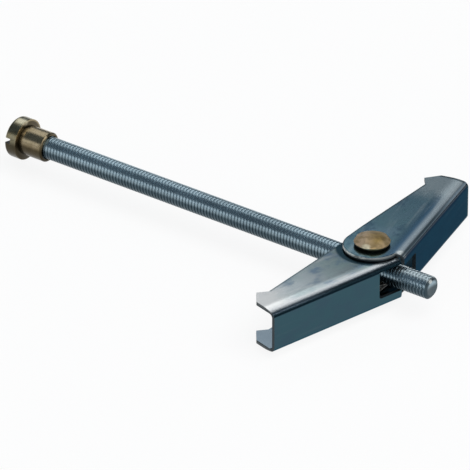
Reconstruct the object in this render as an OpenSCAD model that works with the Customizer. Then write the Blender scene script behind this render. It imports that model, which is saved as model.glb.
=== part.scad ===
// Spring toggle bolt: a threaded rod with a slotted sleeve nut at one end and,
// near the other, a trunnion nut that carries two spring-opened channel wings.
//
// The origin is the centre of the seat under the sleeve nut's head, on the
// rod's axis. +X runs along the rod to its free end, +Z is the wings' pivot
// axis, and the wings stand to either side along Y. Sizes are millimetres.

/* [Rod] */
// Outside diameter of the thread, an M5 as rolled
rod_d = 4.9; // [4:0.1:6]
// Length of the rod from end to end
rod_l = 106.6; // [100:0.2:160]
// Chamfer on each end of the rod
rod_chamfer = 0.6; // [0.2:0.1:1.2]

/* [Sleeve nut] */
// Diameter of the head
head_d = 9; // [8:0.5:14]
// Thickness of the head
head_h = 3; // [2.6:0.1:4]
// Rounding of the head's outer edge
head_edge_r = 0.8; // [0.2:0.1:1.2]
// Width of the screwdriver slot
slot_w = 1.2; // [0.8:0.1:1.6]
// Depth of the screwdriver slot
slot_depth = 1.6; // [1:0.1:1.8]
// Turn of the slot about the rod, from level
slot_turn = 11.5; // [0:0.5:90]
// Metal left between the slot and the blind bore
slot_floor = 0.5; // [0.3:0.1:0.8]
// Wall of the sleeve around the bore
sleeve_wall = 0.75; // [0.5:0.05:1.2]
// Length of the sleeve below the head
sleeve_l = 6; // [4:0.5:12]
// Chamfer on the sleeve's open end
sleeve_chamfer = 0.3; // [0.1:0.1:0.5]

/* [Trunnion nut] */
// Distance from the head's seat to the pivot axis
pivot_x = 90.5; // [70:0.5:92]
// Diameter of the barrel that the rod screws through
barrel_d = 6.6; // [6.4:0.1:8]
// Height of the barrel between the wings' ears
barrel_h = 7.2; // [7.2:0.1:9]
// Diameter of the stub pins that the wings turn on
pin_d = 4.5; // [3:0.1:5]
// Diameter of the peened heads
peen_d = 7.7; // [6:0.1:8.6]
// Straight side of a peened head
peen_side = 0.9; // [0.5:0.1:1.5]
// Height of the dome on a peened head
peen_dome = 1; // [0.5:0.1:1.5]

/* [Wings] */
// Thickness of the folded sheet
sheet_t = 0.8; // [0.6:0.05:0.9]
// Outside radius of the folds
fold_r = 1.6; // [1.2:0.1:1.8]
// Reach of a wing from the pivot, along its web
wing_reach = 33; // [26:0.5:45]
// Distance from the pivot axis to the outer face of the web
web_offset = 7.85; // [7.6:0.05:8.4]
// Radius of the ear round the pivot
ear_r = 6.1; // [5:0.1:6.2]
// Slope of the flanges' free edge towards the tip
edge_slope = 13; // [8:0.5:15]
// Width of the flanges at the tip, from the web to the tooth's corner
tip_w = 6; // [5:0.1:6.5]
// Lean of the flanges' end edge across that width
tip_lean = 0.3; // [0:0.1:0.6]
// Height of the tooth's point above the web's outer face
tooth_w = 8.9; // [8.4:0.1:10]
// Distance of the tooth's point back from the tip
tooth_back = 2.7; // [2:0.1:4]
// Distance of the notch behind the tooth back from the tip
notch_back = 5; // [4.4:0.1:7]
// Distance along the web from the pivot to where the web starts
web_start = 4.7; // [4:0.1:7]
// Width of the strip of web that is left past the rod
strip_w = 2.6; // [2:0.1:2.8]
// Radius in the corner between the strip and the web
strip_corner_r = 0.6; // [0.2:0.1:1]
// Gap left at the stop, where each strip's end meets the other wing's ear
stop_gap = 0.04; // [0.02:0.01:0.1]

/* [Spring] */
// Diameter of the spring's wire
wire_d = 0.5; // [0.3:0.02:0.5]
// Distance along the web at which a leg meets it
leg_reach = 9.5; // [7:0.5:14]
// Length of a leg's end that lies along the web
leg_foot = 3; // [1:0.5:6]

/* [Fits] */
// Radial clearance of every turning or screwed fit
fit = 0.05; // [0.02:0.01:0.1]
// Clearance between faces that slide on each other
face_gap = 0.05; // [0.02:0.01:0.1]
// Space round the spring's coil
coil_gap = 0.1; // [0.05:0.01:0.15]

/* [Hidden] */
$fn = 96;
// Overlap that lets a cut run clear of a face
eps = 1;

zinc = "lightsteelblue";
brass = "darkgoldenrod";
steel = "silver";

rod_r = rod_d / 2;
bore_r = rod_r + fit;
sleeve_r = bore_r + sleeve_wall;
bore_end = slot_depth + slot_floor - head_h;
rod_start = bore_end + coil_gap;

// Levels above the rod's axis, from the barrel outwards
inner_ear_z = barrel_h / 2 + face_gap;
outer_ear_z = inner_ear_z + sheet_t + face_gap;
channel_low = inner_ear_z + sheet_t;
channel_high = outer_ear_z + sheet_t;
peen_z = channel_high + face_gap;

// Angle between each open wing and the head's side of the rod, at which the
// flanges' free edges stand square to the rod
wing_open = 90 - edge_slope;
// Length of the strip past the pivot, at which the open wings stop each other
strip_past = (web_offset - fold_r) * tan(edge_slope) - stop_gap;

// A wing's own frame: the pivot is the origin, X runs along the web to the tip
// and Y runs from the web towards the free edges of the flanges.
web_y = -web_offset;
web_inner_y = web_y + sheet_t;
edge_y = ear_r / cos(edge_slope);
flange_w = web_offset + edge_y + eps;

coil_r = barrel_d / 2 + coil_gap + wire_d / 2;
low_turn_z = face_gap + wire_d / 2 - barrel_h / 2;
high_turn_z = low_turn_z + wire_d + face_gap / 2;
ring_sides = 8;
ring_step = 15;

module along_x() rotate([0, 90, 0]) children();

// ---- Rod ----

module threaded_rod() color(zinc)
    translate([rod_start, 0, 0]) along_x() {
        cylinder(h = rod_chamfer, r1 = rod_r - rod_chamfer, r2 = rod_r);
        translate([0, 0, rod_chamfer])
            cylinder(h = rod_l - 2 * rod_chamfer, r = rod_r);
        translate([0, 0, rod_l - rod_chamfer])
            cylinder(h = rod_chamfer, r1 = rod_r, r2 = rod_r - rod_chamfer);
    }

// ---- Sleeve nut ----

// Half section, with the seat under the head on the 2D X axis
module sleeve_section() {
    head_r = head_d / 2;
    translate([0, head_edge_r - head_h])
        square([head_r, head_h - head_edge_r]);
    translate([0, -head_h])
        square([head_r - head_edge_r, head_h]);
    translate([head_r - head_edge_r, head_edge_r - head_h])
        circle(r = head_edge_r);
    square([sleeve_r, sleeve_l - sleeve_chamfer]);
    square([sleeve_r - sleeve_chamfer, sleeve_l]);
    translate([sleeve_r - sleeve_chamfer, sleeve_l - sleeve_chamfer])
        polygon([[0, 0], [sleeve_chamfer, 0], [0, sleeve_chamfer]]);
}

module sleeve_nut() color(brass)
    difference() {
        along_x() rotate_extrude() sleeve_section();
        translate([bore_end, 0, 0]) along_x()
            cylinder(h = sleeve_l - bore_end + eps, r = bore_r);
        rotate([-slot_turn, 0, 0])
            translate([-head_h - eps, -head_d / 2 - eps, -slot_w / 2])
                cube([slot_depth + eps, head_d + 2 * eps, slot_w]);
    }

// ---- Trunnion nut ----

module peened_head() {
    r = peen_d / 2;
    h = peen_side + peen_dome;
    dome_r = (r * r + peen_dome * peen_dome) / (2 * peen_dome);
    rotate_extrude() intersection() {
        square([r, h]);
        translate([0, h - dome_r]) circle(r = dome_r);
    }
}

module trunnion_nut() color(brass)
    translate([pivot_x, 0, 0]) difference() {
        union() {
            cylinder(h = barrel_h, d = barrel_d, center = true);
            cylinder(h = 2 * peen_z, d = pin_d, center = true);
            for (turn = [0, 180]) rotate([turn, 0, 0])
                translate([0, 0, peen_z]) peened_head();
        }
        translate([-barrel_d, 0, 0]) along_x()
            cylinder(h = 2 * barrel_d, r = bore_r);
    }

// ---- Wings ----

// Outline of both flanges, seen along the pivot
module flange_outline() {
    tip_y = function(w) web_y + w;
    notch_x = wing_reach - notch_back;
    polygon([
        [wing_reach, web_y],
        [wing_reach - tip_lean, tip_y(tip_w)],
        [wing_reach - tooth_back, tip_y(tooth_w)],
        [notch_x, edge_y - notch_x * tan(edge_slope)],
        [ear_r * sin(edge_slope), ear_r * cos(edge_slope)],
        [-strip_past, 0],
        [-strip_past, web_y]
    ]);
    circle(r = ear_r);
}

// Solid strip with two rounded corners on its left, from z = low to z = high
module rounded_strip(left, low, high, r) {
    translate([left + r, low]) square([flange_w, high - low]);
    translate([left, low + r]) square([r, high - low - 2 * r]);
    for (z = [low + r, high - r]) translate([left + r, z]) circle(r = r);
}

// Cross-section of the folded channel, in Y and Z
module channel_section() difference() {
    rounded_strip(web_y, -channel_low, channel_high, fold_r);
    rounded_strip(web_inner_y, sheet_t - channel_low, channel_high - sheet_t, fold_r - sheet_t);
}

// Gap in the web that the rod passes through, in X and Z
module web_gap() {
    low = sheet_t - channel_low;
    high = channel_high - strip_w;
    r = strip_corner_r;
    translate([-ear_r - eps, low])
        square([ear_r + eps + web_start - r, high - low]);
    translate([0, low]) square([web_start, high - low - r]);
    translate([web_start - r, high - r]) circle(r = r);
}

// One folded wing in its own frame, with the strip and the outer ear on top
module wing() difference() {
    intersection() {
        translate([-ear_r - eps, 0, 0]) rotate([90, 0, 90])
            linear_extrude(wing_reach + ear_r + 2 * eps) channel_section();
        translate([0, 0, -channel_high])
            linear_extrude(2 * channel_high) flange_outline();
    }
    translate([0, web_y + fold_r, 0]) rotate([90, 0, 0])
        linear_extrude(fold_r + eps) web_gap();
    cylinder(h = 2 * channel_high + eps, r = pin_d / 2 + fit, center = true);
}

module right_wing() color(zinc)
    translate([pivot_x, 0, 0]) rotate([0, 0, 180 - wing_open]) wing();

module left_wing() color(zinc)
    translate([pivot_x, 0, 0]) rotate([180, 0, 0]) rotate([0, 0, 180 - wing_open]) wing();

// ---- Torsion spring ----

// Point in the plane of the right wing's frame, as an angle and a radius
function turned(p, a) = [p.x * cos(a) - p.y * sin(a), p.x * sin(a) + p.y * cos(a)];

// A leg meets the web at this point of the wing's frame
leg_point = [leg_reach, web_inner_y + face_gap + wire_d / 2];
leg_length = norm(leg_point);
// Angle at which a leg's straight part touches the coil, in the right wing's frame
leg_angle = atan2(leg_point.y, leg_point.x) - acos(coil_r / leg_length);
coil_start = -(leg_angle + 180 - wing_open);
coil_turn = 360 - 2 * coil_start;

function leg_end(side) = let (
        p = turned(leg_point, 180 - wing_open),
        q = turned(leg_point + [leg_foot, 0], 180 - wing_open),
        z = side > 0 ? high_turn_z : low_turn_z
    ) [[p.x, side * p.y, z], [q.x, side * q.y, z]];

function reversed(list) = [for (i = [len(list) - 1:-1:0]) list[i]];

spring_path = concat(
    reversed(leg_end(-1)),
    [for (i = [0:ceil(coil_turn / ring_step)])
        let (s = i / ceil(coil_turn / ring_step), a = coil_start + coil_turn * s)
        [coil_r * cos(a), coil_r * sin(a), low_turn_z + (high_turn_z - low_turn_z) * s]],
    leg_end(1)
);

function unit(v) = v / norm(v);
function heading(path, i) =
    unit((i < len(path) - 1 ? unit(path[i + 1] - path[i]) : [0, 0, 0])
        + (i > 0 ? unit(path[i] - path[i - 1]) : [0, 0, 0]));

// Closed tube of radius r swept along a level path, as one polyhedron
module tube(path, r) {
    n = len(path);
    k = ring_sides;
    points = [for (i = [0:n - 1])
        let (t = heading(path, i), side = unit(cross([0, 0, 1], t)), up = cross(t, side))
        for (j = [0:k - 1]) path[i] + r * (cos(360 * j / k) * side + sin(360 * j / k) * up)];
    walls = [for (i = [0:n - 2], j = [0:k - 1])
        [i * k + j, (i + 1) * k + j, (i + 1) * k + (j + 1) % k, i * k + (j + 1) % k]];
    ends = [[for (j = [0:k - 1]) j], [for (j = [k - 1:-1:0]) (n - 1) * k + j]];
    polyhedron(points, concat(walls, ends));
}

module torsion_spring() color(steel)
    translate([pivot_x, 0, 0]) tube(spring_path, wire_d / 2);

threaded_rod();
sleeve_nut();
trunnion_nut();
left_wing();
right_wing();
torsion_spring();
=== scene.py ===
import math

import bpy
from mathutils import Euler, Matrix, Vector


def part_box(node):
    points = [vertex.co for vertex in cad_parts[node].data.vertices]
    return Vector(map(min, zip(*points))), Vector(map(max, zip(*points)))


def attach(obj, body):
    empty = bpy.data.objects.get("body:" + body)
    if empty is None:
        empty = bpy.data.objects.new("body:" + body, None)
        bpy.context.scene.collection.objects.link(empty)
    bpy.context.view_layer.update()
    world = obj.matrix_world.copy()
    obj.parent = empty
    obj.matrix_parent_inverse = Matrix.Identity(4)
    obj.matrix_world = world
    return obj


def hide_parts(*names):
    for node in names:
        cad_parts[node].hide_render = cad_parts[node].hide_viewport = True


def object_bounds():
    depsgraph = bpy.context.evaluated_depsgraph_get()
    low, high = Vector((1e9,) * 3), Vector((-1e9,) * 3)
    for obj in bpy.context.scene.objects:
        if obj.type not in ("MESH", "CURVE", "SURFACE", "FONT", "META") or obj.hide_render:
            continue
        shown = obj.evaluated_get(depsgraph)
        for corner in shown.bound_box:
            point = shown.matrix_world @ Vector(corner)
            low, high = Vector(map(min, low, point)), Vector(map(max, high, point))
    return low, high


bl_info = {
    "name": "Spring toggle bolt",
    "version": (1, 0, 0),
    "blender": (4, 5, 0),
    "location": "3D Viewport > Sidebar > Toggle bolt",
    "description": "Models the rod, nuts, folded wings and spring of a toggle bolt, and its studio",
    "category": "Object",
}

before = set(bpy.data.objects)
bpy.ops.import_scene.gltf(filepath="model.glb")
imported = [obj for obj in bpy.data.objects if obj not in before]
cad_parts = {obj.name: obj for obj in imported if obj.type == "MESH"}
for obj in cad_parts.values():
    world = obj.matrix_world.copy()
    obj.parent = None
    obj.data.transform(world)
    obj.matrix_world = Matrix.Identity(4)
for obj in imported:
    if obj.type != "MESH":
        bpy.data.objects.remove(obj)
cad_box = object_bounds()

MM = 0.001
TOUCHING = 0.001 * MM  # points closer than this are one point
ROUND = 96  # faces round a turned piece
TOOL_FEED = 0.12 * MM  # distance between the rings that a lathe leaves

# One pitch of the thread, as shares of the pitch and of the fall from crest to root.
TOOTH = ((0, 0.04), (0.02, 0), (0.57, 0), (0.59, 0.04), (0.65, 1), (0.94, 1), (1, 0.04))
SPARE_TURNS = 2  # turns of thread past each end of the rod, which are cut off

GAP_LIP = 0.25 * MM  # height of the web's gap above the lower flange's inner face
GAP_CORNER = 0.6 * MM  # radius of the gap's corner

COIL_PAST = 115  # degrees that the coil runs past its one full turn at each end
CROSSING = 60  # half of the degrees over which the wire passes from one level to the other
LEG_GAP = 0.05 * MM  # air between a spring leg and the web that it presses on
LEG_BEND = 0.8 * MM  # length of each side of a leg's bend

LAMP_AIM = (0.075, 0, 0)  # the point that all lamps face

# Each lamp: degrees right of the camera's heading and degrees up, then its distance, width
# and height in metres, and its radiance.
LAMPS = {
    "front_box": (180, 24, 2.5, 3, 1.6, 1),
    "key_box": (145, 58, 2.5, 3, 1.8, 3.1),
    "flange_wash": (4, 33, 0.9, 0.5, 0.3, 0.2),
    "left_wash": (-14, 39, 0.45, 0.22, 0.19, 0.75),
    "rod_wash": (-32, 56, 1.2, 0.35, 0.25, 1),
    "fold_box": (9, 40, 1.2, 0.26, 0.25, 1.25),
    "right_gap": (26, 37, 0.9, 0.24, 0.14, 0.5),
    "top_box": (0, 82, 1.2, 0.7, 0.7, 0.8),
    "low_fill": (-108, 16, 0.9, 0.6, 0.3, 0.8),
    "right_strip": (48, 24, 0.9, 0.4, 0.3, 0.6),
}


# ---- Driving sizes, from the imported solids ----

rod_low, rod_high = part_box("threaded_rod")
sleeve_low, sleeve_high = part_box("sleeve_nut")
nut_low, nut_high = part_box("trunnion_nut")
pivot_x = (nut_low + nut_high).x / 2


def setting(kind, scale=1, **options):
    """A maker of one kind of setting, whose default is given in units of scale."""
    def make(name, default, description):
        return kind(name=name, default=default * scale, description=description, **options)
    return make


DISTANCE = {"min": 0, "precision": 5, "unit": "LENGTH", "subtype": "DISTANCE"}
length = setting(bpy.props.FloatProperty, **DISTANCE)
mm = setting(bpy.props.FloatProperty, MM, **DISTANCE)
turn = setting(bpy.props.FloatProperty, math.radians(1), unit="ROTATION", subtype="ANGLE")
number = setting(bpy.props.FloatProperty, min=0)
count = setting(bpy.props.IntProperty, min=1)
colour = setting(bpy.props.FloatVectorProperty, size=3, min=0, max=1, subtype="COLOR")


class RodSizes(bpy.types.PropertyGroup):
    """Sizes of the threaded rod."""
    radius: length("Radius", rod_high.z, "Outside radius of the thread")
    pitch: mm("Pitch", 0.8, "Distance from one thread crest to the next")
    depth: mm("Depth", 0.12, "Height of the thread from root to crest")
    chamfer: mm("Chamfer", 0.6, "Chamfer on each end of the rod, across the rod")
    chamfer_along: mm("Chamfer along", 0.45, "The same chamfer's length along the rod")
    dimple: mm("Dimple", 0.12, "Depth of the hollow that the rolls leave in each end")
    steps: count("Steps", 44, "Faces round one turn of the thread")


class SleeveSizes(bpy.types.PropertyGroup):
    """Sizes of the slotted sleeve nut."""
    head_radius: length("Head radius", sleeve_high.z, "Radius of the head")
    edge: mm("Edge", 0.8, "Rounding of the head's outer edge")
    shank_radius: mm("Shank radius", 3.25, "Outside radius of the sleeve")
    bore_radius: mm("Bore radius", 2.5, "Radius of the bore round the rod")
    bore_end: mm("Bore end", 0.9, "How far the blind bore runs into the head")
    mouth: mm("Mouth", 0.3, "Chamfer at the bore's mouth and the sleeve's end")
    slot_width: mm("Slot width", 1.2, "Width of the driver slot")
    slot_depth: mm("Slot depth", 1.6, "Depth of the driver slot")
    slot_turn: turn("Slot turn", 11.5, "Turn of the slot about the rod, from level")
    soft: mm("Edge break", 0.09, "Width of the broken edges")


class TrunnionSizes(bpy.types.PropertyGroup):
    """Sizes of the trunnion nut and its peened heads."""
    barrel_radius: mm("Barrel radius", 3.3, "Radius of the barrel round the rod")
    barrel_half: mm("Barrel half height", 3.6, "Half the barrel's height")
    pin_radius: mm("Pin radius", 2.25, "Radius of the stub pins")
    peen_radius: length("Peen radius", nut_high.y, "Radius of a peened head")
    peen_base: mm("Peen base", 5.35, "Level of a peened head's underside")
    peen_side: mm("Peen side", 0.9, "Height of a peened head's straight side")
    bore_radius: mm("Bore radius", 2.5, "Radius of the cross hole")
    blows: count("Blows", 7, "Hammer blows round each head")
    bite: mm("Bite", 0.13, "How far a blow flattens the crown")
    soft: mm("Edge break", 0.12, "Width of the broken edges")


class WingSizes(bpy.types.PropertyGroup):
    """Sizes of one folded wing, in its own frame: X along the web, Y across the flanges."""
    sheet: mm("Sheet", 0.8, "Thickness of the sheet")
    fold: mm("Fold radius", 1.35, "Outside radius of the folds")
    inside: mm("Inside radius", 0.8, "Inside radius of the folds")
    crown: mm("Crown radius", 14, "Radius of the slight crown that leads into a fold")
    crown_turn: turn("Crown turn", 12, "How far the crown turns before the fold proper")
    reach: mm("Reach", 33, "Distance from the pivot to the tip")
    web: mm("Web", 7.85, "Distance from the pivot to the web's outer face")
    low: mm("Low side", 4.45, "Depth of the inner flange's face below the rod's axis")
    high: mm("High side", 5.3, "Height of the outer flange's face above the rod's axis")
    ear: mm("Ear radius", 6.1, "Radius of the ear round the pivot")
    slope: turn("Edge slope", 13, "Slope of the flanges' free edge, and the wing's lean when open")
    tip: mm("Tip width", 6, "Width of the flange at the tip")
    tip_lean: mm("Tip lean", 0.3, "Lean of the end edge")
    tooth: mm("Tooth height", 8.9, "Height of the tooth above the web")
    tooth_back: mm("Tooth back", 2.7, "Distance of the tooth back from the tip")
    notch_back: mm("Notch back", 5, "Distance of the notch back from the tip")
    web_start: mm("Web start", 4.7, "Where the web starts, from the pivot")
    strip: mm("Strip", 2.6, "Width of the strip of web past the rod")
    strip_past: mm("Strip past", 1.4, "How far the strip runs past the pivot")
    hole: mm("Hole radius", 2.3, "Radius of the hole that turns on the pin")
    rollover: mm("Rollover", 0.3, "Width of the ear's rolled-over outer edge")
    soft: mm("Edge break", 0.09, "Width of the tumbled edges")


class SpringSizes(bpy.types.PropertyGroup):
    """Sizes of the torsion spring."""
    wire: mm("Wire radius", 0.25, "Radius of the wire")
    coil: mm("Coil radius", 3.65, "Radius of the coil at the wire's middle")
    low_turn: mm("Low turn", 3.3, "Depth of the lower turn below the rod's axis")
    high_turn: mm("High turn", 2.775, "Depth of the upper turn below the rod's axis")
    leg_reach: mm("Leg reach", 9.5, "Distance along the web at which a leg meets it")
    leg_foot: mm("Leg foot", 3, "Length of the leg's end that lies along the web")


class Finishes(bpy.types.PropertyGroup):
    """Colours of the finishes."""
    zinc: colour("Zinc", (0.42, 0.55, 0.62), "Blue zinc plate on the rod")
    # Painted shade down in the thread's roots.
    root_shade: colour("Thread root", (0.10, 0.17, 0.21), "Plate down in the thread's roots")
    # Painted shade, laid where shade falls: the rod's underside, the thread's flanks, the chamfers,
    # and dark bands on the wings.
    shade: colour("Shaded plate", (0.032, 0.056, 0.072), "Darker plate on the rod's underside")
    grazing: colour("Grazing", (0.42, 0.51, 0.565), "Tint of the sheet's low reflections")
    # Painted shade: the plate on the wings' inner faces.
    inner_shade: colour("Inside", (0.20, 0.26, 0.31), "Plate on the wings' inner faces")
    # Real wear and burnish, and also the colour of painted highlights.
    rubbed: colour("Rubbed plate", (0.80, 0.83, 0.80), "Plate rubbed bright, and burnished edges")
    # Partly painted shade: the fractured part of the sheared edges is painted darker than bare
    # steel.
    torn_and_shade: colour("Torn edge", (0.05, 0.063, 0.072), "Torn part of the sheet's sheared edges")
    brass: colour("Brass", (0.42, 0.345, 0.22), "Turned brass")
    # Brass worn bright, and also the colour of the nuts' painted highlights.
    worn: colour("Worn brass", (0.72, 0.66, 0.48), "Brass worn bright")
    olive: colour("Olive brass", (0.30, 0.28, 0.19), "Olive brown of the sleeve nut's head")
    # Also the colour of the crowns' painted lit side.
    tan: colour("Tan brass", (0.60, 0.46, 0.31), "Light tan of the peened crowns")
    umber: colour("Umber brass", (0.20, 0.14, 0.05), "Darker brown of the peened crowns")
    bronze: colour("Bronze", (0.40, 0.28, 0.11), "Middle of the peened crowns")
    # Real tarnish, and also the colour of painted shade under and behind the brass parts.
    tarnish_and_shade: colour("Tarnish", (0.03, 0.023, 0.012), "Tarnish in the brass")
    wire: colour("Wire", (0.40, 0.40, 0.38), "Drawn spring wire")
    floor: colour("Floor", (0.95, 0.95, 0.95), "Floor of the studio")


# The plate of each wing, as name: (kind, left wing's value, right wing's value, description).
PLATES = {
    # Painted reflection: inner and outer set how light the flange looks from the pivot towards the
    # tip.
    "inner": (colour, (0.17, 0.20, 0.215), (0.21, 0.315, 0.385), "Plate near the pivot"),
    "outer": (colour, (0.46, 0.50, 0.515), (0.125, 0.225, 0.28), "Plate towards the tip"),
    # Painted highlight: the pale tip.
    "tip": (colour, (0.63, 0.62, 0.61), (0.47, 0.54, 0.56), "Plate rubbed pale at the tip"),
    "green": (colour, (0.22, 0.31, 0.30), (0.11, 0.225, 0.245), "Greenish bloom"),
    "navy": (colour, (0.10, 0.16, 0.24), (0.05, 0.10, 0.16), "Navy bloom"),
    # Painted dark reflection: the web's plate is far darker than the flanges'.
    "web": (colour, (0.041, 0.09, 0.113), (0.023, 0.03, 0.05), "Deep blue passivate on the web"),
    # Painted highlight along the fold.
    "fold": (colour, (0.70, 0.72, 0.73), (0.30, 0.34, 0.36), "Plate rubbed along the fold"),
    # Where the web's painted dark reflection starts on the fold.
    "stain_from": (number, 0.3, 0.7, "Share of the fold's radius at which the web's stain starts"),
    "tip_from": (mm, 23, 20, "Where the pale tip starts, from the pivot"),
    # Painted shadow beside the fold.
    "shadow": (number, 0, 0.9, "Navy bloom beside the fold"),
    # Painted shadow: a dark line on the flange round the other wing's ear.
    "grime": (number, 1, 0, "Dark line round the other wing's ear"),
    # Painted highlight where the fold meets the ear.
    "corner": (number, 0, 0.5, "Rubbed corner where the fold meets the ear"),
    # Painted shade: a dark band at the tip.
    "end": (number, 0, 0.8, "Dark band at the tip"),
}


def plate_of(wing):
    """The properties of one wing's plate: 0 for the left wing, 1 for the right."""
    return {name: kind(name.replace("_", " ").capitalize(), values[wing], description)
            for name, (kind, *values, description) in PLATES.items()}


class LeftPlate(bpy.types.PropertyGroup):
    """Zinc plate on the left wing."""
    __annotations__ = plate_of(0)


class RightPlate(bpy.types.PropertyGroup):
    """Zinc plate on the right wing, mostly darker than the left's: painted shade."""
    __annotations__ = plate_of(1)


class StudioSettings(bpy.types.PropertyGroup):
    """The camera's place, the floor and the air."""
    azimuth: turn("Azimuth", 37.01, "Camera's turn round the bolt, from looking along +Y")
    elevation: turn("Elevation", 29.39, "Camera's height above the horizon")
    distance: length("Distance", 1.5, "Distance from the camera to the pivot's plane")
    field: mm("Field", 96.8673, "Width that the picture covers at the pivot")
    aside: mm("Aside", 28.21, "How far the pivot stands right of the picture's middle")
    below: mm("Below", 6.43, "How far the pivot stands below the picture's middle")
    floor_size: length("Floor size", 16, "Width of the floor")
    lift: number("Floor lift", 0.87, "How far the floor is lifted to white where it is seen")
    horizon: turn("Horizon", 6, "Height of the white horizon")
    air: colour("Air", (0.085, 0.11, 0.135), "Dim light from all round")


SETTINGS = {
    "toggle_rod": RodSizes,
    "toggle_sleeve": SleeveSizes,
    "toggle_trunnion": TrunnionSizes,
    "toggle_wing": WingSizes,
    "toggle_spring": SpringSizes,
    "toggle_finish": Finishes,
    "toggle_left_plate": LeftPlate,
    "toggle_right_plate": RightPlate,
    "toggle_studio": StudioSettings,
}


# ---- Modelling, as by hand ----

def mode(name):
    """Goes to edit mode or object mode."""
    bpy.ops.object.mode_set(mode=name)


def pick(piece=None):
    """Selects one object and nothing else, or nothing at all."""
    bpy.ops.object.select_all(action="DESELECT")
    if piece:
        piece.select_set(True)
        bpy.context.view_layer.objects.active = piece


def pick_all(action="SELECT"):
    """Selects, or deselects, all of the mesh that is being edited."""
    bpy.ops.mesh.select_all(action=action)


def merge_doubles():
    """Makes one point of those that touch."""
    pick_all()
    bpy.ops.mesh.remove_doubles(threshold=TOUCHING)


def extrude(along):
    """Extrudes what is selected by a vector."""
    bpy.ops.mesh.extrude_region_move(TRANSFORM_OT_translate={"value": along})


def draw(name, points, closed=False):
    """A new object in edit mode that holds a line drawn through the points, all selected."""
    points = [Vector(p) for p in points]
    pick()
    bpy.ops.mesh.primitive_plane_add(size=MM)
    piece = bpy.context.object
    piece.name = piece.data.name = name
    mode("EDIT")
    bpy.ops.mesh.select_mode(type="VERT")
    pick_all()
    bpy.ops.mesh.merge(type="CENTER")
    bpy.ops.transform.translate(value=points[0])
    for here, there in zip(points, points[1:] + points[:1] * closed):
        extrude(there - here)
    merge_doubles()
    pick_all()
    return piece


def prism(name, outline, along):
    """A solid whose closed outline is extruded by the vector along."""
    piece = draw(name, outline, closed=True)
    bpy.ops.mesh.edge_face_add()
    extrude(along)
    settle()
    return piece


def block(name, low, high):
    """A box between two of its corners."""
    (left, front, floor), (right, back, top) = low, high
    corners = [(left, front), (right, front), (right, back), (left, back)]
    return prism(name, [(x, y, floor) for x, y in corners], (0, 0, top - floor))


def lathe(name, profile, axis, centre=(0, 0, 0), steps=ROUND):
    """A closed solid turned from a profile in XZ that starts and ends on the axis."""
    piece = draw(name, [(centre[0] + x, 0, z) for x, z in profile])
    bpy.ops.mesh.spin(steps=steps, angle=math.tau, center=centre, axis=axis)
    settle()
    return piece


def settle():
    """Merges doubles, points the faces outwards and leaves edit mode."""
    merge_doubles()
    bpy.ops.mesh.normals_make_consistent()
    mode("OBJECT")


def modify(piece, kind, **options):
    """Adds a modifier to a piece and applies it."""
    modifier = piece.modifiers.new(kind.title(), kind)
    for name, value in options.items():
        setattr(modifier, name, value)
    pick(piece)
    bpy.ops.object.modifier_apply(modifier=modifier.name)


def carve(piece, tool, operation="DIFFERENCE", solver="EXACT"):
    """Cuts a piece with a tool, or keeps what they share, and removes the tool."""
    modify(piece, "BOOLEAN", object=tool, operation=operation, solver=solver)
    bpy.data.objects.remove(tool)
    piece.data.materials.clear()


def drill(piece, **drill_sizes):
    """Cuts a round hole through a piece."""
    pick()
    bpy.ops.mesh.primitive_cylinder_add(**drill_sizes)
    carve(piece, bpy.context.object)


def break_edges(piece, width, sharp):
    """Bevels the edges sharper than an angle in degrees and shades smooth round them."""
    modify(piece, "BEVEL", width=width, segments=2, limit_method="ANGLE",
           angle_limit=math.radians(sharp), miter_outer="MITER_ARC")
    shade(piece, sharp)


def shade(piece, sharp):
    """Shades smooth up to an angle in degrees, with flat faces kept flat."""
    pick(piece)
    bpy.ops.object.shade_smooth_by_angle(angle=math.radians(sharp))
    modify(piece, "WEIGHTED_NORMAL", keep_sharp=True)


def place(piece, turned=(0, 0, 0), at=(0, 0, 0)):
    """Turns and moves a piece, and leaves its object at the origin."""
    pick(piece)
    piece.rotation_euler = turned
    piece.location = at
    bpy.ops.object.transform_apply()


def finish(piece, material, body, slot, *nodes):
    """Gives a piece its material and its body, and hides the solids that it stands for. The slot is
    not used.
    """
    piece.data.materials.append(material)
    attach(piece, body)
    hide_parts(*nodes)


def arc(centre, radius, start, end, steps):
    """Points along an arc in a plane, with the angles in degrees."""
    angles = [math.radians(start + (end - start) * i / steps) for i in range(steps + 1)]
    return [(centre[0] + radius * math.cos(a), centre[1] + radius * math.sin(a)) for a in angles]


def heading(around, above):
    """A unit vector turned round from +Y and raised above the horizon."""
    return Vector((-math.sin(around) * math.cos(above), math.cos(around) * math.cos(above),
                   math.sin(above)))


# ---- Materials ----

def operator_pair(operation):
    """Python's operator for a Math node's operation, and its reflected form."""
    return (lambda self, other: self.board.math(operation, self, other),
            lambda self, other: self.board.math(operation, other, self))


class Signal:
    """A value that varies over a surface, with Python's arithmetic."""
    __add__, __radd__ = operator_pair("ADD")
    __sub__, __rsub__ = operator_pair("SUBTRACT")
    __mul__, __rmul__ = operator_pair("MULTIPLY")
    __truediv__, __rtruediv__ = operator_pair("DIVIDE")

    def __init__(self, board, socket):
        self.board = board
        self.socket = socket

    def __abs__(self):
        return self.board.math("ABSOLUTE", self)

    def step(self, low, high):
        """0 below low, 1 above high and smooth between, or the reverse where low is above high."""
        made = self.board.node(
            "ShaderNodeMapRange", {"interpolation_type": "SMOOTHSTEP"},
            {"Value": self, "From Min": low, "From Max": high})
        return Signal(self.board, made.outputs["Result"])


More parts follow.
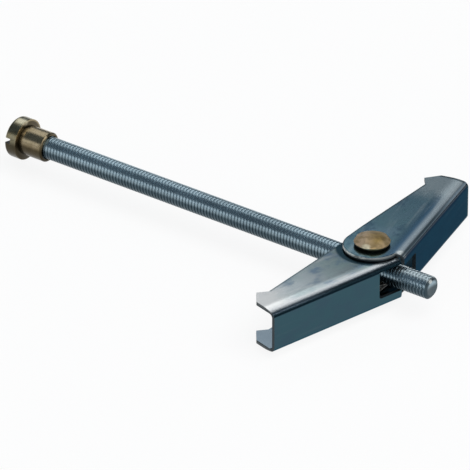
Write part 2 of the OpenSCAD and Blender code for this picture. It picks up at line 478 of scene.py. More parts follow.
class Board:
    """The nodes of a material or a world, with a pattern space moved to a centre and turned."""

    def __init__(self, owner, centre=(0, 0, 0), turned=(0, 0, 0), source="Object"):
        owner.use_nodes = True
        self.owner = owner
        self.tree = owner.node_tree
        coordinates = self.node("ShaderNodeTexCoord").outputs[source]
        unturned = Euler(turned).to_matrix().inverted()
        self.space = self.node(
            "ShaderNodeMapping", {},
            {"Vector": coordinates, "Rotation": unturned.to_euler(),
             "Location": -(unturned @ Vector(centre))}).outputs["Vector"]
        split = self.node("ShaderNodeSeparateXYZ", {}, {"Vector": self.space})
        self.x, self.y, self.z = (Signal(self, split.outputs[axis]) for axis in "XYZ")

    def node(self, kind, settings=None, inputs=None):
        """A new node with its settings made and its sockets filled or linked."""
        made = self.tree.nodes.new(kind)
        for name, value in (settings or {}).items():
            setattr(made, name, value)
        for name, value in (inputs or {}).items():
            self.feed(made.inputs[name], value)
        return made

    def feed(self, socket, value):
        """Links a socket to a signal or a socket, or sets it to a plain value."""
        value = value.socket if isinstance(value, Signal) else value
        if isinstance(value, bpy.types.NodeSocket):
            self.tree.links.new(value, socket)
        elif hasattr(socket.default_value, "__len__") and len(socket.default_value) == 4:
            socket.default_value = (*value, 1)
        else:
            socket.default_value = value

    def math(self, operation, *values):
        """A Math node's result."""
        made = self.node("ShaderNodeMath", {"operation": operation}, dict(enumerate(values)))
        return Signal(self, made.outputs[0])

    def space_math(self, operation, point):
        """A Vector Math node between the pattern space and a point."""
        return self.node(
            "ShaderNodeVectorMath", {"operation": operation}, {0: self.space, 1: point})

    def near(self, point):
        """Distance from a point of the pattern space."""
        return Signal(self, self.space_math("DISTANCE", point).outputs["Value"])

    def from_axis(self, first, second):
        """Distance from the axis that the other two coordinates leave."""
        return self.math("SQRT", first * first + second * second)

    def grain(self, size, detail=3, rough=0.6, stretch=(1, 1, 1), seed=0):
        """Noise from 0 to 1 whose spots are about size millimetres across."""
        made = self.node(
            "ShaderNodeTexNoise", {"noise_dimensions": "4D"},
            {"Vector": self.space_math("MULTIPLY", stretch).outputs["Vector"], "W": seed,
             "Scale": 1 / (size * MM), "Detail": detail, "Roughness": rough})
        return Signal(self, made.outputs["Fac"])

    def tool_marks(self, out, along):
        """Fine rings that a lathe leaves, as a height from 0 to 1."""
        rings = self.node("ShaderNodeCombineXYZ", {}, {"X": out, "Y": along}).outputs["Vector"]
        made = self.node("ShaderNodeTexNoise", {"noise_dimensions": "2D"},
                         {"Vector": rings, "Scale": 1 / TOOL_FEED})
        return Signal(self, made.outputs["Fac"])

    def coats(self, base, *layers):
        """A base colour under layers of mask and colour, each laid over the last by its mask."""
        for mask, laid in layers:
            made = self.node("ShaderNodeMix", {"data_type": "RGBA"}, {0: mask, 6: base, 7: laid})
            base = made.outputs[2]
        return base

    def surface(self, **sockets):
        """Fills the shader's sockets, named with underscores, and gives the material."""
        shader = self.tree.nodes["Principled BSDF"]
        for name, value in sockets.items():
            self.feed(shader.inputs[name.replace("_", " ").title()], value)
        return self.owner

    def metal(self, base, roughness, height, depth, **sockets):
        """Makes the surface bare metal whose relief is depth deep, and gives the material."""
        relief = self.node("ShaderNodeBump", {}, {"Height": height, "Distance": depth})
        return self.surface(base_color=base, metallic=1, roughness=roughness,
                            normal=relief.outputs["Normal"], **sockets)

    def whiten(self, plain, bright, share):
        """Mixes plain with bright where a camera, glossy or transmission ray meets them."""
        path = self.node("ShaderNodeLightPath").outputs
        seen = self.math("MAXIMUM", path["Is Camera Ray"], path["Is Glossy Ray"])
        seen = self.math("MAXIMUM", seen, path["Is Transmission Ray"])
        mixed = self.node("ShaderNodeMixShader", {}, {0: seen * share, 1: plain, 2: bright})
        output = next(node for node in self.tree.nodes if node.type.startswith("OUTPUT"))
        self.feed(output.inputs["Surface"], mixed.outputs[0])


def new_board(name, centre=(0, 0, 0), turned=(0, 0, 0)):
    """A new material's board."""
    return Board(bpy.data.materials.new(name), centre, turned)


def under_face(board, sizes):
    """Depth below the outer face of the nearer flange."""
    return board.math("MINIMUM", sizes.high - board.z, board.z + sizes.low)


def zinc_thread(sizes, look):
    """Blue zinc plate over the rolled thread, with painted shade in the roots, on the flanks, the
    chamfers and the underside, painted highlights near the free end, and bright specks on the
    crests.
    """
    board = new_board("zinc_thread")
    radius, depth = sizes.radius, sizes.depth
    out = board.from_axis(board.y, board.z)
    cloud = board.grain(6, detail=4, stretch=(0.4, 1, 1), rough=0.5)
    speck = board.grain(0.25, seed=3)
    root = out.step(radius - 0.6 * depth, radius - 0.95 * depth)
    flank = out.step(radius - 0.05 * depth, radius - 0.13 * depth)
    worn = speck.step(0.62, 0.75) * (1 - root)
    # Painted shade: the plate is darker towards the rod's underside.
    underside = board.z.step(0.5 * radius, 0)
    face = radius - sizes.chamfer
    from_end = board.math("MINIMUM", board.x - rod_low.x, rod_high.x - board.x)
    # Painted shade on the chamfer at each end and round the rim of each end face.
    chamfer = out.step(face - 0.05 * MM, face + 0.1 * MM) * from_end.step(
        sizes.chamfer_along, 0.8 * sizes.chamfer_along)
    cut = from_end.step(0.35 * MM, 0.15 * MM)
    rim = out.step(0.78 * face, 0.95 * face) * cut
    # Painted highlight along the top of the rod near its free end.
    painted_top_highlight = board.x.step(rod_high.x - 12 * MM, rod_high.x - 6 * MM) * board.z.step(
        0.7 * radius, 0.88 * radius)
    # Painted highlight at the top of the free end's face.
    painted_end_highlight = board.near((rod_high.x, -0.3 * face, face)).step(0.65 * MM, 0.25 * MM)
    plate = board.coats(
        look.zinc,
        (cloud.step(0.4, 0.65), [0.8 * c for c in look.zinc]),
        (worn * 0.3, look.rubbed),
        # Painted shade on the thread's flanks and in its roots.
        ((flank - root) * 0.3, look.shade),
        (root * 0.3, look.root_shade),
        (underside * 0.92, look.shade),
        (chamfer * 0.9, look.shade),
        (cut * 0.06, look.rubbed),
        (rim * 0.6, look.shade),
        (painted_top_highlight * 0.35 * (1 - cut), look.rubbed),
        (painted_end_highlight * 0.8, look.rubbed))
    return board.metal(plate, 0.2 + 0.1 * speck + 0.1 * root + 0.15 * cut, speck, 0.003 * MM)


def zinc_sheet(sizes, look, plate, name, turned):
    """Blue zinc plate over cold-rolled sheet, with blooms, rolling marks and scuffs, and with
    painted shade, shadows, reflections and highlights.
    """
    board = new_board(name, (pivot_x, 0, 0), turned)
    cloud = board.grain(9, rough=0.55, stretch=(0.6, 1, 1), seed=1)
    patch = board.grain(3.5, detail=4, stretch=(0.7, 1, 1), seed=5)
    streak = board.grain(1.3, rough=0.55, stretch=(0.1, 1, 1), seed=3)
    rolled = board.grain(0.35, stretch=(0.03, 1, 1), seed=2)
    speck = board.grain(0.3, detail=2, seed=7)
    from_pivot = board.from_axis(board.x, board.y)

    fold_line = sizes.fold - sizes.web
    # Painted dark reflection on the web, starting partway round the fold.
    on_web = board.y.step(fold_line - plate.stain_from * sizes.fold,
                          fold_line - (plate.stain_from + 0.25) * sizes.fold)
    # Painted highlight: the plate along the fold takes its own colour.
    fold_highlight = board.y.step(fold_line + 1.3 * MM, fold_line + 0.1 * MM)
    # Painted shadow: a navy band beside the fold.
    beside = board.y.step(-3 * MM, -5.2 * MM) * plate.shadow
    below = board.math("MINIMUM", under_face(board, sizes), board.y + sizes.web)
    # Painted shade on the faces inside the channel.
    inner_shade = below.step(0.4 * sizes.sheet, 0.6 * sizes.sheet)

    # Painted highlight: the pale patch towards the tip.
    tip = (board.x + 9 * MM * (patch - 0.5)).step(plate.tip_from, plate.tip_from + 7 * MM)
    # Painted shade: a dark band along the wing's end.
    end = board.x.step(sizes.reach - 1.1 * MM, sizes.reach - 0.5 * MM)
    notch = sizes.reach - sizes.notch_back
    free_edge = board.x * math.sin(sizes.slope) + board.y * math.cos(sizes.slope)
    past_ear = board.x.step(2 * MM, -MM)
    # Painted shade on the band where the ears' edges roll over.
    rolled_over = (from_pivot * past_ear + free_edge * (1 - past_ear)).step(
        sizes.ear - 0.55 * MM, sizes.ear - 0.15 * MM) * board.x.step(notch, notch - 0.4 * MM)
    # Painted shadow: a dark line round the other wing's ear.
    near_ear = abs(from_pivot - sizes.ear - 0.5 * MM).step(1.4 * MM, 0.7 * MM)
    # Painted highlight at the corner where the fold meets the ear.
    corner = board.near((-0.7 * MM, -6.8 * MM, 4.9 * MM)).step(1.4 * MM, 0.5 * MM)
    scratch = rolled.step(0.6, 0.72)

    # The web's painted dark reflection, with navy blooms.
    painted_dark_web = board.coats(
        plate.web, (patch.step(0.42, 0.66) * 0.35, [0.45 * c for c in plate.navy]))
    # Painted shade inside the channel, darkest near the pivot.
    inside = board.coats(look.shade, (board.x.step(14 * MM, 28 * MM), look.inner_shade))
    metal = board.coats(
        plate.inner,
        # Painted reflection: the plate goes from its inner to its outer colour along the wing.
        (board.x.step(4 * MM, 0.9 * sizes.reach), plate.outer),
        (cloud.step(0.4, 0.62) * 0.55, plate.green),
        (board.math("MAXIMUM", beside, patch.step(0.48, 0.66) * 0.65), plate.navy),
        # Painted highlight: the pale tip.
        (tip * 0.8, plate.tip),
        (streak.step(0.5, 0.7) * 0.28, plate.tip),
        (rolled_over * 0.6, look.shade),
        (near_ear * plate.grime, look.shade),
        (fold_highlight * 0.75, plate.fold),
        (on_web, painted_dark_web),
        (corner * plate.corner, look.rubbed),
        (end * plate.end, look.shade),
        (inner_shade * 0.9, inside),
        (scratch * (0.08 - 0.065 * on_web), look.rubbed))
    return board.metal(metal, 0.12 + 0.06 * speck + 0.06 * patch,
                       0.6 * rolled + 0.4 * speck, 0.002 * MM, specular_tint=look.grazing)


def sheared_edge(sizes, look, name, turned):
    """A sheared edge: burnished next to the outer face, dark below as partly painted shade, with a
    painted highlight on the front of the ears.
    """
    board = new_board(name, (pivot_x, 0, 0), turned)
    ragged = board.grain(0.12, stretch=(1, 1, 0.3), seed=6)
    worn = board.grain(1.1, detail=2, seed=11, rough=0.5)
    from_pivot = board.from_axis(board.x, board.y)
    at_ear = from_pivot.step(sizes.ear + 0.6 * MM, sizes.ear + 0.1 * MM)
    # Painted highlight along the front of the ears' edges, broken up by wear.
    rubbed = (0.47 * board.y - 0.88 * board.x).step(0.74 * sizes.ear, 0.92 * sizes.ear)
    rubbed = rubbed * worn.step(0.3, 0.55)
    edge = sizes.sheet * (0.75 - 0.1 * at_ear)
    depth = under_face(board, sizes) + 0.15 * sizes.sheet * (ragged - 0.5)
    burnish = (depth / edge).step(1, 0.7)
    metal = board.coats(
        look.torn_and_shade, (burnish * (0.08 + at_ear * (0.12 + 0.8 * rubbed)), look.rubbed))
    return board.metal(metal, 0.5 + 0.2 * ragged, ragged, 0.02 * MM)


def sleeve_brass(sizes, look):
    """Dull turned brass, olive on the head, with painted shade behind the head, at the mouth and
    towards the underside, and a painted highlight on top of the head.
    """
    board = new_board("sleeve_brass")
    head, shank = sizes.head_radius, sizes.shank_radius
    out = board.from_axis(board.y, board.z)
    cloud = board.grain(2.5, detail=4, seed=4)
    fine = board.grain(0.8, seed=8)
    speck = board.grain(0.2, seed=9)
    on_head = board.x.step(0.05 * MM, -0.2 * MM)
    from_seat = abs(board.x)
    seat = from_seat.step(0.5 * MM, 0.1 * MM) * out.step(head - 0.05 * MM, head - 0.5 * MM)
    corner = from_seat.step(0.8 * MM, 0) * out.step(head, shank)
    mouth = board.x.step(sleeve_high.x - 0.6 * MM, sleeve_high.x - 0.2 * MM)
    underside = board.z.step(0.5 * (shank + on_head * (head - shank)), 0)
    # Painted highlight: a bright spot on top of the head.
    from_head_highlight = board.near((-1.2 * MM, -0.1 * head, 0.99 * head))
    worn = (from_head_highlight + 0.8 * MM * (fine - 0.5)).step(1.7 * MM, 0.6 * MM)
    metal = board.coats(
        look.brass,
        (on_head, look.olive),
        (cloud.step(0.42, 0.7) * 0.5, look.umber),
        (fine.step(0.5, 0.75) * 0.4, look.tarnish_and_shade),
        # Painted shade on the head's underside face and in the corner below it.
        (board.math("MAXIMUM", seat, corner) * 0.85, look.tarnish_and_shade),
        # Painted shade: the sleeve's mouth is darker.
        (mouth * 0.7, look.tarnish_and_shade),
        # Painted shade: darker towards the underside.
        (underside * 0.9, look.tarnish_and_shade),
        (worn * 0.85, look.worn))
    return board.metal(metal, 0.14 + 0.12 * speck + 0.1 * fine,
                       board.tool_marks(out, board.x) + 0.4 * speck, 0.0012 * MM)


def peened_brass(sizes, look):
    """Brass that was hammered over: brown on the crown and light brown on its edge, with a painted
    lit side, a painted highlight on its front edge, and painted shade below its rim.
    """
    board = new_board("peened_brass", (pivot_x, 0, 0))
    base, side = sizes.peen_base, sizes.peen_side
    out = board.from_axis(board.x, board.y)
    cloud = board.grain(1.6, detail=4, seed=4)
    dent = board.grain(0.9, detail=2, rough=0.5, seed=2)
    speck = board.grain(0.2, seed=9)
    crown = abs(board.z).step(base + 0.5 * side, base + 0.85 * side)
    edge = out.step(0.5 * sizes.peen_radius, 0.85 * sizes.peen_radius)
    # Painted light: the crown's front-left side is lighter.
    lit = (-0.8 * board.x - 0.6 * board.y + 3 * MM * (cloud - 0.5)).step(-1.5 * MM, 2 * MM)
    # Painted highlight on the crown's front edge.
    struck = board.near((0.9 * MM, -3.5 * MM, base + side))
    bright = (struck + 0.8 * MM * (cloud - 0.5)).step(1.3 * MM, 0.5 * MM)
    metal = board.coats(
        look.bronze,
        (board.math("MAXIMUM", edge * 0.5, lit), look.tan),
        (cloud.step(0.4, 0.6) * 0.55, look.umber),
        (speck.step(0.58, 0.72) * 0.5, look.tarnish_and_shade),
        (bright * 0.9, look.worn))
    marks = board.tool_marks(out, board.z)
    height = marks * (1 - crown) * 0.2 + 0.15 * speck + dent * crown
    # Painted shade: all below the crowns takes the dark brass.
    return board.metal(board.coats(look.tarnish_and_shade, (crown, metal)), 0.42 + 0.2 * speck,
                       height, 0.05 * MM)


def drawn_wire(look):
    """Drawn spring wire."""
    board = new_board("drawn_wire", (pivot_x, 0, 0))
    speck = board.grain(0.15)
    steel = board.coats(look.wire, (speck.step(0.45, 0.7), [0.5 * c for c in look.wire]))
    return board.metal(steel, 0.25 + 0.2 * speck, speck, 0.006 * MM)


def floor_paper(look, lift):
    """Pale paper that the bolt lies on, lifted towards white."""
    board = new_board("floor_paper")
    fibre = board.grain(1.5, rough=0.5)
    paper = board.surface(
        base_color=board.coats(look.floor, (fibre * 0.1, [0.97 * c for c in look.floor])),
        roughness=0.9)
    glow = board.node("ShaderNodeEmission")
    board.whiten(board.tree.nodes["Principled BSDF"].outputs[0], glow.outputs[0], lift)
    return paper


def studio_air(settings):
    """Dim air for the lamps to stand out against, and a white horizon for the floor to meet."""
    world = bpy.data.worlds.new("studio_air")
    board = Board(world, source="Generated")
    air = board.tree.nodes["Background"]
    board.feed(air.inputs["Color"], settings.air)
    white = board.node("ShaderNodeBackground", {}, {"Color": (1, 1, 1)})
    horizon = board.z.step(math.sin(settings.horizon), 0.3 * math.sin(settings.horizon))
    board.whiten(air.outputs[0], white.outputs[0], horizon)
    return world


# ---- The pieces ----

class TOGGLE_OT_rod(bpy.types.Operator):
    """Model the rod with its rolled thread, chamfered at both ends"""
    bl_idname = "toggle.rod"
    bl_label = "Threaded rod"

    def execute(self, context):
        sizes = context.scene.toggle_rod
        start, end = rod_low.x, rod_high.x
        crest, pitch = sizes.radius, sizes.pitch
        spare = SPARE_TURNS * pitch
        rod = draw("rolled_rod", [(start - spare + share * pitch, 0, crest - fall * sizes.depth)
                                  for share, fall in TOOTH])
        mode("OBJECT")
        modify(rod, "SCREW", axis="X", screw_offset=pitch, angle=math.tau, steps=sizes.steps,
               iterations=math.ceil((end - start) / pitch) + 2 * SPARE_TURNS)
        mode("EDIT")
        merge_doubles()
        for side in (-1, 1):
            self.close_end(rod, side, (start + end) / 2, side * spare)
        settle()
        face = crest - sizes.chamfer
        past = 0.1 * MM
        half = [(sizes.dimple, 0), (0.7 * sizes.dimple, 0.35 * face),
                (0.1 * sizes.dimple, 0.68 * face), (0, 0.78 * face), (0, face),
                (sizes.chamfer_along * (sizes.chamfer + past) / sizes.chamfer, crest + past)]
        profile = [(start + x, r) for x, r in half] + [(end - x, r) for x, r in reversed(half)]
        stock = lathe("rod_stock", profile, (1, 0, 0), steps=2 * sizes.steps)
        carve(rod, stock, "INTERSECT", "MANIFOLD")
        shade(rod, 28)
        finish(rod, zinc_thread(sizes, context.scene.toggle_finish),
               "rod", "zinc_rod", "threaded_rod")
        return {"FINISHED"}

    def close_end(self, rod, side, halfway, reach):
        """Draws the open end of the thread on one side of halfway out to a point."""
        bpy.ops.mesh.select_mode(type="EDGE")
        pick_all("DESELECT")
        bpy.ops.mesh.select_non_manifold()
        mode("OBJECT")
        for edge in rod.data.edges:
            edge.select &= side * (rod.data.vertices[edge.vertices[0]].co.x - halfway) > 0
        for vertex in rod.data.vertices:
            vertex.select &= side * (vertex.co.x - halfway) > 0
        mode("EDIT")
        extrude((reach, 0, 0))
        bpy.ops.mesh.merge(type="CENTER")


class TOGGLE_OT_sleeve_nut(bpy.types.Operator):
    """Model the turned sleeve nut with its rounded head and driver slot"""
    bl_idname = "toggle.sleeve_nut"
    bl_label = "Sleeve nut"

    def execute(self, context):
        sizes = context.scene.toggle_sleeve
        top, end = sleeve_low.x, sleeve_high.x
        head, shank, bore = sizes.head_radius, sizes.shank_radius, sizes.bore_radius
        corner = arc((top + sizes.edge, head - sizes.edge), sizes.edge, 180, 90, 8)
        nut = lathe("turned_sleeve_nut", [
            (top, 0), *corner, (0, head), (0, shank), (end - sizes.mouth, shank),
            (end, shank - sizes.mouth), (end, bore + 0.5 * sizes.mouth),
            (end - sizes.mouth, bore), (-sizes.bore_end, bore), (-sizes.bore_end, 0)], (1, 0, 0))
        wide, half = head + 2 * MM, sizes.slot_width / 2
        slot = block("slot_cutter", (top - MM, -wide, -half), (top + sizes.slot_depth, wide, half))
        place(slot, turned=(-sizes.slot_turn, 0, 0))
        carve(nut, slot)
        break_edges(nut, sizes.soft, 30)
        finish(nut, sleeve_brass(sizes, context.scene.toggle_finish),
               "sleeve_nut", "yellow_brass", "sleeve_nut")
        return {"FINISHED"}


class TOGGLE_OT_trunnion_nut(bpy.types.Operator):
    """Model the trunnion nut: barrel, stub pins and hammered heads"""
    bl_idname = "toggle.trunnion_nut"
    bl_label = "Trunnion nut"

    def execute(self, context):
        sizes = context.scene.toggle_trunnion
        radius, base = sizes.peen_radius, sizes.peen_base
        shoulder = base + sizes.peen_side
        rise = nut_high.z - shoulder
        ball = (radius ** 2 + rise ** 2) / (2 * rise)
        rim = math.degrees(math.acos(radius / ball))
        dome = arc((0, nut_high.z - ball), ball, 90, rim, 10)
        half = dome + [(radius - 0.04 * MM, shoulder - 0.3 * MM), (radius - 0.4 * MM, base),
                       (sizes.pin_radius, base), (sizes.pin_radius, sizes.barrel_half),
                       (sizes.barrel_radius, sizes.barrel_half)]
        profile = half + [(r, -z) for r, z in reversed(half)]
        nut = lathe("peened_trunnion_nut", profile, (0, 0, 1), (pivot_x, 0, 0))
        self.hammer(nut, sizes, ball, shoulder)
        drill(nut, vertices=64, radius=sizes.bore_radius, depth=4 * sizes.barrel_radius,
              location=(pivot_x, 0, 0), rotation=(0, math.pi / 2, 0))
        break_edges(nut, sizes.soft, 35)
        finish(nut, peened_brass(sizes, context.scene.toggle_finish),
               "trunnion", "yellow_brass", "trunnion_nut")
        return {"FINISHED"}

    def hammer(self, nut, sizes, ball, shoulder):
        """Flattens both crowns and their rims with blows that the sines make uneven."""
        for side in (-1, 1):
            for i in range(sizes.blows):
                around = math.tau * (i + 0.3 * math.sin(5.3 * i)) / sizes.blows + 0.5 * side
                out = (0.72 + 0.07 * math.sin(3.1 * i + side)) * sizes.peen_radius
                lean = math.asin(out / ball) + math.radians(4 * math.sin(2.1 * i + side))
                height = nut_high.z - ball + math.sqrt(ball ** 2 - out ** 2)
                self.blow(nut, side, around, lean, out, height, sizes.bite)
                around += 0.5 + 0.2 * math.sin(1.7 * i)
                lean = math.radians(58 + 8 * math.sin(2.9 * i))
                bite = sizes.bite * (1.2 + 0.6 * math.sin(4.3 * i + side))
                self.blow(nut, side, around, lean, sizes.peen_radius, shoulder, bite)
            self.blow(nut, side, 1.1 * side, math.radians(5), 0, nut_high.z, 0.6 * sizes.bite)

    def blow(self, nut, side, around, lean, out, height, bite):
        """Cuts one flat, whose plane leans out from the axis and lies a bite under the surface."""
        flat = block("hammer_face", (-3 * MM, -3 * MM, 0), (3 * MM, 3 * MM, 3 * MM))
        upright = lean if side > 0 else math.pi - lean
        facing = heading(around - math.pi / 2, math.pi / 2 - upright)
        struck = Vector((pivot_x + out * math.cos(around), out * math.sin(around), side * height))
        place(flat, turned=(0, upright, around), at=struck - bite * facing)
        carve(nut, flat)


class TOGGLE_OT_wings(bpy.types.Operator):
    """Model one folded wing and set it on both sides of the rod"""
    bl_idname = "toggle.wings"
    bl_label = "Wings"

    def execute(self, context):
        scene = context.scene
        sizes, look = scene.toggle_wing, scene.toggle_finish
        wing = self.channel(sizes)
        carve(wing, self.blank(sizes), "INTERSECT")
        carve(wing, self.rod_gap(sizes))
        drill(wing, vertices=ROUND, radius=sizes.hole, depth=4 * sizes.high)
        self.roll_over(wing, sizes)
        break_edges(wing, sizes.soft, 30)
        self.mark_sheared(wing, sizes)
        other = wing.copy()
        other.data = wing.data.copy()
        scene.collection.objects.link(other)
        lean = math.pi / 2 + sizes.slope
        for piece, name, turned, plate in (
                (wing, "right_wing", (0, 0, lean), scene.toggle_right_plate),
                (other, "left_wing", (math.pi, 0, -lean), scene.toggle_left_plate)):
            piece.name = piece.data.name = "folded_" + name
            place(piece, turned=turned, at=(pivot_x, 0, 0))
            finish(piece, zinc_sheet(sizes, look, plate, "zinc_" + name, turned),
                   name, "zinc_sheet", name)
            piece.data.materials.append(sheared_edge(sizes, look, "sheared_" + name, turned))
        return {"FINISHED"}

    def channel(self, sizes):
        """The folded channel, before its outline is cut."""
        back, end, free = -sizes.ear - MM, sizes.reach + MM, 2 * sizes.ear
        depth = sizes.sheet + sizes.inside
        fold = self.fold(sizes)
        inner = [(y, -z) for y, z in arc((depth - sizes.web, -depth), sizes.inside, 90, 180, 8)]
        upper, lower = sizes.high, -sizes.low
        section = [
            (free, upper), *[(y, upper - fall) for y, fall in fold],
            *[(y, lower + fall) for y, fall in reversed(fold)], (free, lower),
            (free, lower + sizes.sheet), *[(y, lower + fall) for y, fall in inner],
            *[(y, upper - fall) for y, fall in reversed(inner)], (free, upper - sizes.sheet)]
        return prism("channel", [(back, y, z) for y, z in section], (end - back, 0, 0))

    def fold(self, sizes):
        """A fold's outside from flange to web: places across the wing, and falls from the face."""
        lead = math.degrees(sizes.crown_turn)
        gap = sizes.crown - sizes.fold
        start = sizes.fold - sizes.web + gap * math.sin(sizes.crown_turn)
        centre = sizes.crown - gap * math.cos(sizes.crown_turn)
        crown = arc((start, -sizes.crown), sizes.crown, 90, 90 + lead, 6)
        tight = arc((sizes.fold - sizes.web, -centre), sizes.fold, 90 + lead, 180, 11)
        return [(y, -z) for y, z in crown + tight[1:]]

    def blank(self, sizes):
        """The outline of both flanges, as a block to keep the channel inside."""
        web = -sizes.web
        notch = sizes.reach - sizes.notch_back
        edge = (sizes.ear - notch * math.sin(sizes.slope)) / math.cos(sizes.slope)
        meet = math.degrees(math.acos(sizes.strip_past / sizes.ear))
        outline = [
            (sizes.reach, web), (sizes.reach - sizes.tip_lean, web + sizes.tip),
            (sizes.reach - sizes.tooth_back, web + sizes.tooth), (notch, edge),
            *arc((0, 0), sizes.ear, 90 - math.degrees(sizes.slope), 180 + meet, 44),
            (-sizes.strip_past, web)]
        past_web = [(x, y if y > web else y - MM, -2 * sizes.high) for x, y in outline]
        return prism("blank", past_web, (0, 0, 4 * sizes.high))

    def rod_gap(self, sizes):
        """The gap in the web that the rod passes through, as a block to cut away."""
        front, back = -sizes.web - MM, -sizes.ear - 2 * MM
        low = sizes.sheet - sizes.low + GAP_LIP
        high = sizes.high - sizes.strip
        outline = [(back, low), (sizes.web_start, low),
                   *arc((sizes.web_start - GAP_CORNER, high - GAP_CORNER), GAP_CORNER, 0, 90, 5),
                   (back, high)]
        return prism("rod_gap", [(x, front, z) for x, z in outline], (0, 2 * sizes.sheet + MM, 0))

    def roll_over(self, wing, sizes):
        """Rounds the outer edge of both ears, as the punch leaves it."""
        pick(wing)
        mode("EDIT")
        pick_all("DESELECT")
        mode("OBJECT")
        crown_start = self.fold(sizes)[0][0]
        for vertex in wing.data.vertices:
            at = vertex.co
            past = max(0, crown_start - at.y)
            fall = sizes.crown - math.sqrt(sizes.crown ** 2 - past ** 2)
            off_face = min(abs(at.z - sizes.high + fall), abs(at.z + sizes.low - fall))
            vertex.select = max(abs(at.xy.length - sizes.ear), off_face) < 20 * TOUCHING
        mode("EDIT")
        bpy.ops.mesh.select_mode(type="EDGE")
        bpy.ops.mesh.bevel(offset=sizes.rollover, segments=4)
        mode("OBJECT")

    def mark_sheared(self, wing, sizes):
        """Gives the second material to the faces that lie across the sheet."""
        depth = sizes.sheet + sizes.inside
        bend, upper, lower = depth - sizes.web, sizes.high - depth, depth - sizes.low
        for face in wing.data.polygons:
            at, facing = face.center, face.normal
            if at.y > bend:
                across = abs(facing.z)
            elif lower < at.z < upper:
                across = abs(facing.y)
            else:
                fold_z = upper if at.z >= upper else lower
                across = abs(facing.dot(Vector((0, at.y - bend, at.z - fold_z)).normalized()))
            # Bevel faces also fall under this test and take the dark edge material: partly painted
            # shade.
            face.material_index = int(across < 0.95)


class TOGGLE_OT_spring(bpy.types.Operator):
    """Model the spring: a coil that stays with the nut, and a leg inside each wing"""
    bl_idname = "toggle.spring"
    bl_label = "Torsion spring"

    def execute(self, context):
        sizes = context.scene.toggle_spring
        wing = context.scene.toggle_wing
        steel = drawn_wire(context.scene.toggle_finish)
        low, high = -sizes.low_turn, -sizes.high_turn
        coil = []
        for angle in range(-COIL_PAST, 360 + COIL_PAST + 1, 5):
            share = min(max((angle - 180 + CROSSING) / (2 * CROSSING), 0), 1)
            around = math.radians(angle)
            coil.append((sizes.coil * math.cos(around), sizes.coil * math.sin(around),
                         low + (high - low) * share * share * (3 - 2 * share)))
        self.wire("spring_coil", coil, sizes, steel, "trunnion")
        meets = Vector((sizes.leg_reach, -wing.web + wing.sheet + LEG_GAP + sizes.wire))
        touch = math.atan2(meets.y, meets.x) - math.acos(sizes.coil / meets.length)
        start = Vector((sizes.coil * math.cos(touch), sizes.coil * math.sin(touch)))
        flat = self.rounded(start, meets, meets + Vector((sizes.leg_foot, 0)))
        opened = Matrix.Rotation(math.pi / 2 + wing.slope, 2)
        for name, side, level in (("right", 1, high), ("left", -1, low)):
            path = [(p.x, side * p.y, level) for p in (opened @ q for q in flat)]
            self.wire("spring_leg_" + name, path, sizes, steel, name + "_wing")
        return {"FINISHED"}

    def rounded(self, start, corner, end):
        """The path from start to end by way of the corner, with a small bend in its place."""
        into = corner + (start - corner).normalized() * LEG_BEND
        out = corner + (end - corner).normalized() * LEG_BEND
        bend = [(1 - t) ** 2 * into + 2 * t * (1 - t) * corner + t ** 2 * out
                for t in (i / 6 for i in range(7))]
        return [start, *bend, end]

    def wire(self, name, path, sizes, steel, body):
        """A round wire along a path that is given from the pivot."""
        draw(name, [(pivot_x + x, y, z) for x, y, z in path])
        mode("OBJECT")
        bpy.ops.object.convert(target="CURVE")
        curve = bpy.context.object.data
        curve.bevel_depth = sizes.wire
        curve.bevel_resolution = 4
        curve.use_fill_caps = True
        bpy.ops.object.convert(target="MESH")
        piece = bpy.context.object
        piece.name = piece.data.name = name
        shade(piece, 40)
        finish(piece, steel, body, "spring_wire", "torsion_spring")


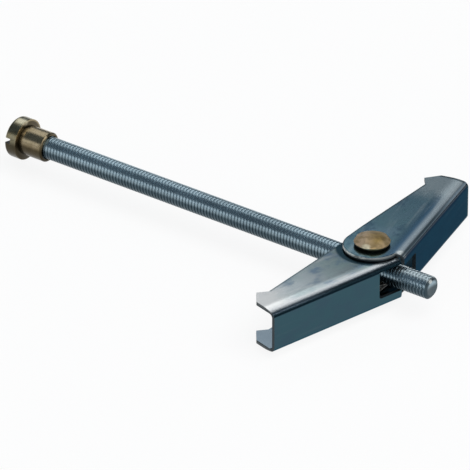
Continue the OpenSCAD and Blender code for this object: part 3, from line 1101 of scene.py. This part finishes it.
class TOGGLE_OT_studio(bpy.types.Operator):
    """Set the pale floor, the soft lamps and the camera"""
    bl_idname = "toggle.studio"
    bl_label = "Studio"

    def execute(self, context):
        scene = context.scene
        settings = scene.toggle_studio
        pick()
        bpy.ops.mesh.primitive_plane_add(size=settings.floor_size, location=(0, 0, cad_box[0].z))
        floor = bpy.context.object
        floor.name = "studio_floor"
        place(floor, at=floor.location)
        floor.data.materials.append(floor_paper(scene.toggle_finish, settings.lift))
        for name, lamp in LAMPS.items():
            self.lamp(settings.azimuth, name, *lamp)
        scene.world = studio_air(settings)
        scene.camera = self.camera(settings)
        scene.view_settings.view_transform = "Standard"
        return {"FINISHED"}

    def lamp(self, azimuth, name, right, up, distance, wide, high, radiance):
        """A soft box that points at the bolt and that the camera doesn't see."""
        toward = heading(azimuth - math.radians(right), math.radians(up))
        bpy.ops.object.light_add(type="AREA", location=Vector(LAMP_AIM) + distance * toward)
        lamp = bpy.context.object
        lamp.name = name
        lamp.rotation_euler = toward.to_track_quat("Z", "Y").to_euler()
        lamp.data.shape = "RECTANGLE"
        lamp.data.size = wide
        lamp.data.size_y = high
        lamp.data.energy = radiance * math.pi * wide * high
        lamp.visible_camera = False

    def camera(self, settings):
        """A long lens at the chosen place, with the pivot set aside from the middle."""
        forward = heading(settings.azimuth, -settings.elevation)
        right = heading(settings.azimuth - math.pi / 2, 0)
        up = right.cross(forward)
        aim = Vector((pivot_x, 0, 0)) - settings.aside * right + settings.below * up
        bpy.ops.object.camera_add(location=aim - settings.distance * forward)
        camera = bpy.context.object
        camera.name = "catalogue_camera"
        camera.rotation_euler = (-forward).to_track_quat("Z", "Y").to_euler()
        camera.data.lens = camera.data.sensor_width * settings.distance / settings.field
        return camera


OPERATORS = (TOGGLE_OT_rod, TOGGLE_OT_sleeve_nut, TOGGLE_OT_trunnion_nut, TOGGLE_OT_wings,
             TOGGLE_OT_spring, TOGGLE_OT_studio)


class TOGGLE_PT_panel(bpy.types.Panel):
    """Lists the pieces to model and their sizes"""
    bl_idname = "TOGGLE_PT_panel"
    bl_label = "Toggle bolt"
    bl_space_type = "VIEW_3D"
    bl_region_type = "UI"
    bl_category = "Toggle bolt"

    def draw(self, context):
        for operator in OPERATORS:
            self.layout.operator(operator.bl_idname)
        for pointer in SETTINGS:
            group = getattr(context.scene, pointer)
            box = self.layout.box()
            for name in group.bl_rna.properties.keys():
                if name not in ("rna_type", "name"):
                    box.prop(group, name)


CLASSES = (*SETTINGS.values(), *OPERATORS, TOGGLE_PT_panel)


def register():
    for cls in CLASSES:
        bpy.utils.register_class(cls)
    for pointer, group in SETTINGS.items():
        setattr(bpy.types.Scene, pointer, bpy.props.PointerProperty(type=group))


def unregister():
    for pointer in SETTINGS:
        delattr(bpy.types.Scene, pointer)
    for cls in reversed(CLASSES):
        bpy.utils.unregister_class(cls)


def main():
    register()
    bpy.ops.toggle.studio()
    bpy.ops.toggle.rod()
    bpy.ops.toggle.sleeve_nut()
    bpy.ops.toggle.trunnion_nut()
    bpy.ops.toggle.wings()
    bpy.ops.toggle.spring()


if __name__ == "__main__":
    main()
